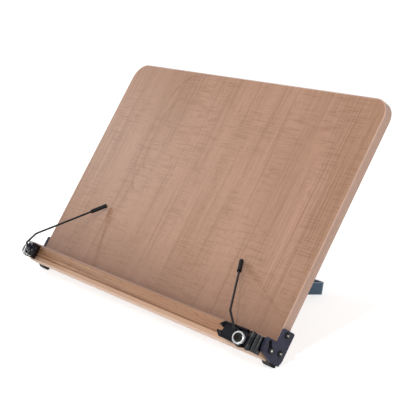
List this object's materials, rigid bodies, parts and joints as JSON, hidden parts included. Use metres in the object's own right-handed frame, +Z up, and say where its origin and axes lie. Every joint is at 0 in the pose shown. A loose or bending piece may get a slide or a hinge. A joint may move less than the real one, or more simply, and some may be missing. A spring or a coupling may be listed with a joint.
{
  "type": "reading stand",
  "caption": "Tilted wooden reading stand with a ledge, hinged page arms with springy page wires, and a folding steel strap leg behind.",
  "frame": {"origin": "middle of the stand's footprint on the table", "axes": "+X along the ledge to the reader's right, +Y away from the reader, +Z up"},
  "size_m": [0.3894, 0.2112, 0.2111],
  "materials": {
    "board_wood": "satin",
    "band_wood": "satin",
    "ledge_wood": "satin",
    "black_steel": "satin",
    "black_screws": "satin",
    "black_casting": "satin",
    "black_rubber": "matte",
    "bright_screw": "polished",
    "black_wire": "satin",
    "leg_paint": "satin",
    "rivet_steel": "satin"
  },
  "bodies": {
    "stand": {"board_panel": "board_wood", "edge_band": "band_wood", "side_bracket_right": "black_steel", "side_bracket_left": "black_steel", "bracket_screw_right_upper": "black_screws", "bracket_screw_right_lower": "black_screws", "bracket_screw_left_upper": "black_screws", "bracket_screw_left_lower": "black_screws", "foot_right": "black_rubber", "foot_left": "black_rubber", "rear_bracket": "black_steel", "rear_screw_1": "rivet_steel", "rear_screw_2": "rivet_steel", "rear_screw_3": "rivet_steel", "rear_screw_4": "rivet_steel", "leg_rivet_right": "rivet_steel", "leg_rivet_left": "rivet_steel", "leg_stop_pin_right": "rivet_steel", "leg_stop_pin_left": "rivet_steel"},
    "ledge": {"ledge_rail": "ledge_wood", "ledge_pin_right": "black_screws", "ledge_pin_left": "black_screws", "hinge_block_right": "black_casting", "hinge_block_left": "black_casting", "hinge_pin_right": "black_screws", "hinge_pin_left": "black_screws"},
    "leg": {"leg_strap": "leg_paint"},
    "arm_right": {"page_arm_right": "black_casting"},
    "wire_right": {"wire_hub_right": "black_steel", "page_wire_right": "black_wire", "wire_tip_right": "black_rubber"},
    "clamp_right": {"clamp_screw_right": "bright_screw"},
    "arm_left": {"page_arm_left": "black_casting"},
    "wire_left": {"wire_hub_left": "black_steel", "page_wire_left": "black_wire", "wire_tip_left": "black_rubber"},
    "clamp_left": {"clamp_screw_left": "bright_screw"}
  },
  "joints": [
    {"name": "ledge_lift", "type": "slide", "parent": "stand", "child": "ledge", "axis": [0, 0, 1], "range_m": [0, 0.0075]},
    {"name": "leg_fold", "type": "hinge", "parent": "stand", "child": "leg", "pos_m": [0, -0.03956, 0.03257], "axis": [1, 0, 0], "range_deg": [0, 66]},
    {"name": "arm_swing_right", "type": "hinge", "parent": "ledge", "child": "arm_right", "pos_m": [0.183, -0.0889, 0.0262], "axis": [0, 0.5553, 0.8317], "range_deg": [0, 75]},
    {"name": "wire_turn_right", "type": "hinge", "parent": "arm_right", "child": "wire_right", "pos_m": [0.17651, -0.09458, 0.0277], "axis": [0.342, -0.7815, 0.5218], "range_deg": [0, 38]},
    {"name": "clamp_turn_right", "type": "hinge", "parent": "arm_right", "child": "clamp_right", "pos_m": [0.17651, -0.09458, 0.0277], "axis": [0.342, -0.7815, 0.5218], "range_deg": [0, 180]},
    {"name": "arm_swing_left", "type": "hinge", "parent": "ledge", "child": "arm_left", "pos_m": [-0.183, -0.0889, 0.0262], "axis": [0, -0.5553, -0.8317], "range_deg": [0, 75]},
    {"name": "wire_turn_left", "type": "hinge", "parent": "arm_left", "child": "wire_left", "pos_m": [-0.17651, -0.09458, 0.0277], "axis": [0.342, 0.7815, -0.5218], "range_deg": [0, 38]},
    {"name": "clamp_turn_left", "type": "hinge", "parent": "arm_left", "child": "clamp_left", "pos_m": [-0.17651, -0.09458, 0.0277], "axis": [0.342, 0.7815, -0.5218], "range_deg": [0, 180]}
  ]
}
